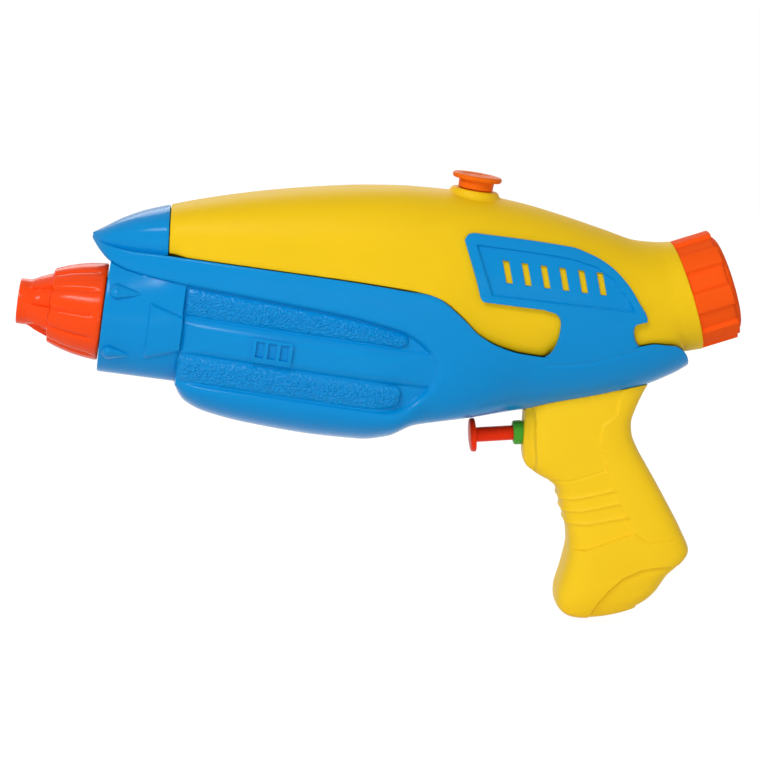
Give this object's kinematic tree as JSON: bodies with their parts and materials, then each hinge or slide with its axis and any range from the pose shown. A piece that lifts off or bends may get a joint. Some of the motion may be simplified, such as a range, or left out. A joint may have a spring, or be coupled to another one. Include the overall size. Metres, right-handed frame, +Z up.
{
  "type": "toy water squirter",
  "caption": "Hand-pumped toy water squirter: a tank clasped by two covers, a push-in trigger that works a piston pump in the grip, a screw filler cap and a petalled nozzle.",
  "frame": {"origin": "The middle of the hand on the grip, where the part is held", "axes": "+X runs back along the barrel axis, from the nozzle to the cap; +Y to the squirter's right; +Z up, square to the barrel"},
  "size_m": [0.286, 0.0618, 0.1735],
  "materials": {
    "tank_yellow": "glossy blow-moulded",
    "grip_yellow": "glossy moulded",
    "cover_blue": "glossy moulded",
    "nozzle_orange": "glossy moulded",
    "cap_orange": "satin moulded",
    "plug_orange": "soft moulded",
    "trigger_red": "glossy moulded",
    "bush_green": "soft moulded",
    "natural_plastic": "natural moulded",
    "hose_clear": "milky extruded",
    "seal_black": "matt",
    "steel": "drawn wire"
  },
  "bodies": {
    "gun": {"tank": "tank_yellow", "cover_left": "cover_blue", "cover_right": "cover_blue", "grip_left": "grip_yellow", "grip_right": "grip_yellow", "jet_tube": "natural_plastic", "delivery_hose": "hose_clear", "suction_hose": "hose_clear", "outlet_elbow": "natural_plastic", "pump_cylinder": "natural_plastic", "gland_bush": "bush_green", "rod_seal": "seal_black", "inlet_fitting": "natural_plastic", "cover_screw_1": "steel", "cover_screw_2": "steel", "cover_screw_3": "steel", "grip_screw_1": "steel", "grip_screw_2": "steel", "grip_screw_3": "steel"},
    "trigger": {"trigger_rod": "trigger_red", "piston": "natural_plastic", "piston_seal": "seal_black", "return_spring": "steel"},
    "nozzle": {"nozzle": "nozzle_orange"},
    "cap_liner": {"cap_liner": "natural_plastic"},
    "cap": {"tank_cap": "cap_orange"},
    "plug": {"fill_plug": "plug_orange"},
    "inlet_ball": {"inlet_ball": "steel"},
    "outlet_ball": {"outlet_ball": "steel"}
  },
  "joints": [
    {"name": "trigger_push", "type": "slide", "parent": "gun", "child": "trigger", "axis": [0.9816, 0, 0.1908], "range_m": [0, 0.0135], "stiffness_N_per_m": 500, "springref_m": -0.006, "deforming": ["return_spring"]},
    {"name": "nozzle_turn", "type": "hinge", "parent": "gun", "child": "nozzle", "pos_m": [-0.224, 0, 0.046], "axis": [1, 0, 0], "continuous": true},
    {"name": "cap_lift", "type": "slide", "parent": "gun", "child": "cap_liner", "axis": [0.9063, 0, 0.4226], "range_m": [0, 0.0051]},
    {"name": "cap_turn", "type": "hinge", "parent": "cap_liner", "child": "cap", "pos_m": [0.01845, 0, 0.0839], "axis": [0.9063, 0, 0.4226], "range_deg": [0, 450]},
    {"name": "plug_pull", "type": "slide", "parent": "gun", "child": "plug", "axis": [0.0244, 0, 0.9997], "range_m": [0, 0.012]},
    {"name": "inlet_lift", "type": "slide", "parent": "gun", "child": "inlet_ball", "axis": [-0.1908, 0, 0.9816], "range_m": [0, 0.0008]},
    {"name": "outlet_lift", "type": "slide", "parent": "gun", "child": "outlet_ball", "axis": [-0.1908, 0, 0.9816], "range_m": [0, 0.0008]}
  ],
  "couplings": [
    {"joint": "cap_lift", "follows": "cap_turn", "m_per_rad": 0.00063662}
  ]
}
